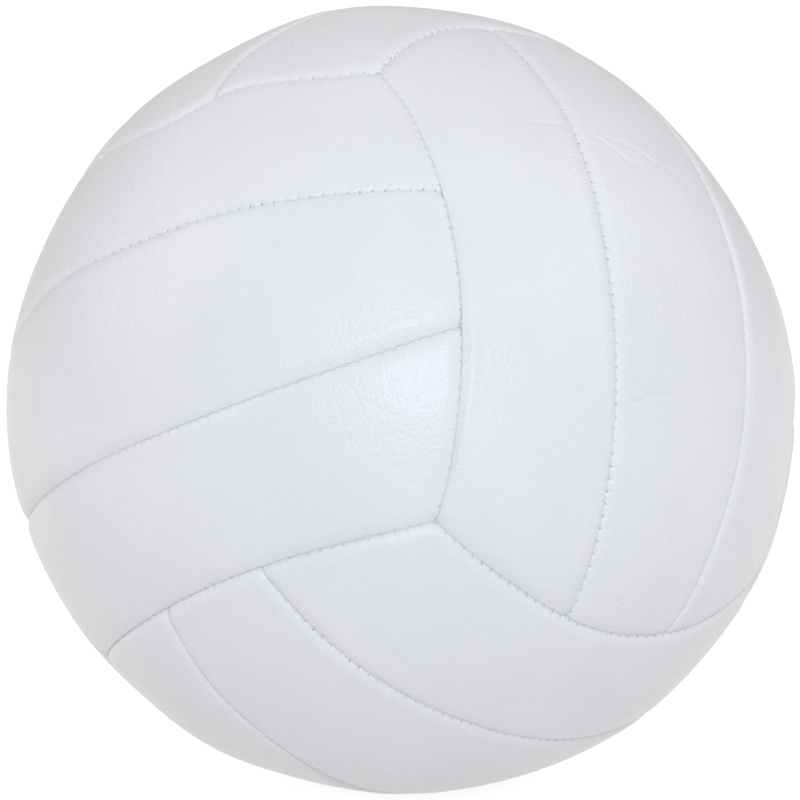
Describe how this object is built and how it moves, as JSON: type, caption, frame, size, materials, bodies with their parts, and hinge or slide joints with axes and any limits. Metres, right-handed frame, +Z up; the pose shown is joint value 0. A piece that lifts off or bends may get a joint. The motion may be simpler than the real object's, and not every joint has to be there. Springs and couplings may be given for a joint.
{
  "type": "volleyball",
  "caption": "Inflatable indoor volleyball: sewn synthetic leather panels with foam backing over a butyl bladder, with a needle valve.",
  "frame": {"origin": "centre of the ball", "axes": "+Z up, as the ball lies on its support; the picture looks along +Y, a little from above, with +X to the right; the panel pattern is turned 24, -14 and -137 degrees about X, Y and Z in turn, so that the valve faces up and to the back; but for the seams and the valve the ball is the same about every axis"},
  "size_m": [0.21, 0.21, 0.21],
  "materials": {
    "panel_leather": "soft white synthetic leather with a fine grain and a faint sheen",
    "panel_foam": "cloth-faced foam backing",
    "sewing_thread": "bonded white polyester thread",
    "bladder_rubber": "black butyl rubber",
    "patch_rubber": "butyl rubber patch with a cloth face",
    "valve_rubber": "moulded pale grey rubber",
    "core_rubber": "soft grey rubber"
  },
  "bodies": {
    "root": {"skin_front_left_edge_a": "panel_leather", "skin_front_left_centre": "panel_leather", "skin_front_left_edge_b": "panel_leather", "skin_back_right_edge_a": "panel_leather", "skin_back_right_centre": "panel_leather", "skin_back_right_edge_b": "panel_leather", "skin_front_right_edge_a": "panel_leather", "skin_front_right_centre": "panel_leather", "skin_front_right_edge_b": "panel_leather", "skin_back_left_edge_a": "panel_leather", "skin_back_left_centre": "panel_leather", "skin_back_left_edge_b": "panel_leather", "skin_top_edge_a": "panel_leather", "skin_top_centre": "panel_leather", "skin_top_edge_b": "panel_leather", "skin_base_edge_a": "panel_leather", "skin_base_centre": "panel_leather", "skin_base_edge_b": "panel_leather", "foam_front_left_edge_a": "panel_foam", "foam_front_left_centre": "panel_foam", "foam_front_left_edge_b": "panel_foam", "foam_back_right_edge_a": "panel_foam", "foam_back_right_centre": "panel_foam", "foam_back_right_edge_b": "panel_foam", "foam_front_right_edge_a": "panel_foam", "foam_front_right_centre": "panel_foam", "foam_front_right_edge_b": "panel_foam", "foam_back_left_edge_a": "panel_foam", "foam_back_left_centre": "panel_foam", "foam_back_left_edge_b": "panel_foam", "foam_top_edge_a": "panel_foam", "foam_top_centre": "panel_foam", "foam_top_edge_b": "panel_foam", "foam_base_edge_a": "panel_foam", "foam_base_centre": "panel_foam", "foam_base_edge_b": "panel_foam", "thread_front_left_side_a": "sewing_thread", "thread_front_left_side_b": "sewing_thread", "thread_back_right_side_a": "sewing_thread", "thread_back_right_side_b": "sewing_thread", "thread_front_right_side_a": "sewing_thread", "thread_front_right_side_b": "sewing_thread", "thread_back_left_side_a": "sewing_thread", "thread_back_left_side_b": "sewing_thread", "thread_top_side_a": "sewing_thread", "thread_top_side_b": "sewing_thread", "thread_base_side_a": "sewing_thread", "thread_base_side_b": "sewing_thread", "thread_front_left_strips": "sewing_thread", "thread_back_right_strips": "sewing_thread", "thread_front_right_strips": "sewing_thread", "thread_back_left_strips": "sewing_thread", "thread_top_strips": "sewing_thread", "thread_base_strips": "sewing_thread", "bladder": "bladder_rubber", "valve_patch": "patch_rubber", "valve_housing": "valve_rubber", "valve_core": "core_rubber"}
  },
  "joints": []
}
